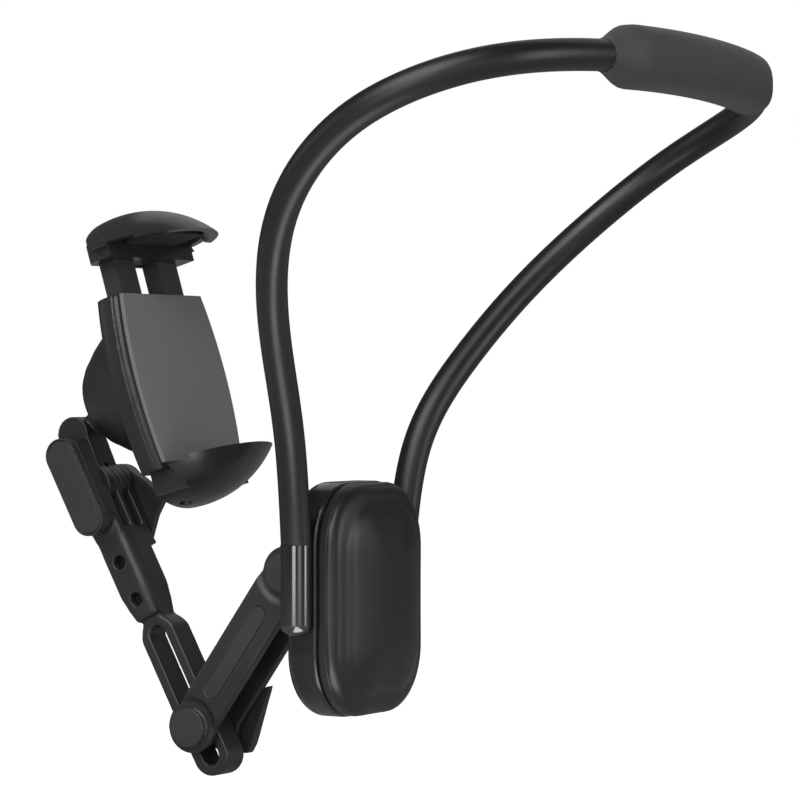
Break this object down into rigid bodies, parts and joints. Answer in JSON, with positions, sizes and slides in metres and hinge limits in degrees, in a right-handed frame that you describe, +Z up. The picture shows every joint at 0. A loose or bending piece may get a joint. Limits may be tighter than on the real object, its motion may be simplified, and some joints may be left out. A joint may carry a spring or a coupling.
{
  "type": "neck phone holder",
  "caption": "Bendable neck hoop with a neck pad and a padded chest unit, carrying a folding arm with wing levers and a sprung phone clamp on a ball joint.",
  "frame": {"origin": "Centre of the neck pad's inner face, where it rests on the back of the neck.", "axes": "+X to the wearer's right, +Y forward from the neck towards the phone clamp, +Z up."},
  "size_m": [0.2384, 0.2451, 0.2449],
  "materials": {
    "silicone": "matte moulded silicone",
    "core_wire": "drawn",
    "neck_foam": "matte soft pad",
    "gunmetal": "gloss gunmetal",
    "screw_steel": "machined",
    "shell_gloss": "gloss",
    "shell_satin": "satin gloss",
    "plate_plastic": "fine texture",
    "cushion_skin": "soft matte skin",
    "arm_plastic": "fine texture",
    "cap_plastic": "fine texture",
    "dark_plastic": "fine texture",
    "liner_nylon": "plain nylon",
    "pad_rubber": "smooth mid grey rubber",
    "grip_rubber": "matte rubber",
    "jaw_plastic": "satin",
    "bush_plastic": "plain nylon",
    "spring_steel": "bright wire"
  },
  "bodies": {
    "hoop_and_chest": {"hoop_sleeve": "silicone", "gooseneck_core": "core_wire", "neck_pad": "neck_foam", "ferrule_left": "gunmetal", "ferrule_right": "gunmetal", "ferrule_screws": "screw_steel", "chest_front_shell": "shell_gloss", "chest_rear_shell": "shell_satin", "housing_screws": "screw_steel", "cushion_plate": "plate_plastic", "chest_cushion": "cushion_skin", "hinge_bracket": "dark_plastic", "bracket_screws": "screw_steel"},
    "lower_link": {"lower_arm": "arm_plastic", "lower_arm_inlay": "cap_plastic", "chest_hinge_cap": "cap_plastic", "elbow_cap": "cap_plastic", "chest_hinge_bolt": "screw_steel", "chest_hinge_nut": "screw_steel", "elbow_bolt": "screw_steel", "elbow_nut": "dark_plastic"},
    "slide_block": {"slot_bush": "bush_plastic", "elbow_washer": "screw_steel"},
    "elbow_wing": {"elbow_lever": "arm_plastic"},
    "upper_link": {"slotted_bar": "arm_plastic", "upper_arm_body": "arm_plastic", "arm_screws": "screw_steel", "hinge_cover": "arm_plastic", "upper_hinge_bolt": "screw_steel", "upper_hinge_nut": "dark_plastic"},
    "upper_wing": {"upper_lever": "arm_plastic"},
    "ball_link": {"ball_stem": "dark_plastic"},
    "liner": {"socket_liner": "liner_nylon"},
    "collar": {"socket_collar": "dark_plastic"},
    "clamp": {"clamp_body": "dark_plastic", "clamp_pad": "pad_rubber", "clamp_back_cover": "dark_plastic", "cover_screws": "screw_steel", "clamp_springs": "spring_steel", "lower_jaw": "jaw_plastic", "lower_jaw_grip": "grip_rubber", "jaw_screws": "screw_steel"},
    "jaw": {"jaw_rail": "arm_plastic", "upper_jaw": "jaw_plastic", "upper_jaw_grip": "grip_rubber", "rail_screws": "screw_steel"}
  },
  "joints": [
    {"name": "chest_hinge", "type": "hinge", "parent": "hoop_and_chest", "child": "lower_link", "pos_m": [0, 0.13486, -0.16455], "axis": [1, 0, 0], "range_deg": [-25, 30]},
    {"name": "elbow_hinge", "type": "hinge", "parent": "lower_link", "child": "slide_block", "pos_m": [0, 0.17237, -0.21812], "axis": [1, 0, 0], "range_deg": [-50, 2]},
    {"name": "slot_slide", "type": "slide", "parent": "slide_block", "child": "upper_link", "axis": [0, 0.4679, 0.8838], "range_m": [-0.022, 0.0105]},
    {"name": "elbow_lever_turn", "type": "hinge", "parent": "lower_link", "child": "elbow_wing", "pos_m": [0, 0.17237, -0.21812], "axis": [1, 0, 0], "range_deg": [-60, 45]},
    {"name": "upper_hinge", "type": "hinge", "parent": "upper_link", "child": "ball_link", "pos_m": [0, 0.21532, -0.13699], "axis": [1, 0, 0], "range_deg": [-12, 12]},
    {"name": "upper_lever_turn", "type": "hinge", "parent": "upper_link", "child": "upper_wing", "pos_m": [0, 0.21532, -0.13699], "axis": [1, 0, 0], "range_deg": [-45, 45]},
    {"name": "clamp_tilt", "type": "hinge", "parent": "ball_link", "child": "liner", "pos_m": [0, 0.21016, -0.10709], "axis": [1, 0, 0], "range_deg": [-40, 4]},
    {"name": "clamp_pan", "type": "hinge", "parent": "liner", "child": "collar", "pos_m": [0, 0.21016, -0.10709], "axis": [0, 0.2874, 0.9578], "range_deg": [-12, 12]},
    {"name": "clamp_spin", "type": "hinge", "parent": "collar", "child": "clamp", "pos_m": [0, 0.21016, -0.10709], "axis": [0, 0.9578, -0.2874], "continuous": true},
    {"name": "jaw_slide", "type": "slide", "parent": "clamp", "child": "jaw", "axis": [0, 0.2874, 0.9578], "range_m": [-0.0125, 0.01], "stiffness_N_per_m": 120, "springref_m": -0.03}
  ]
}
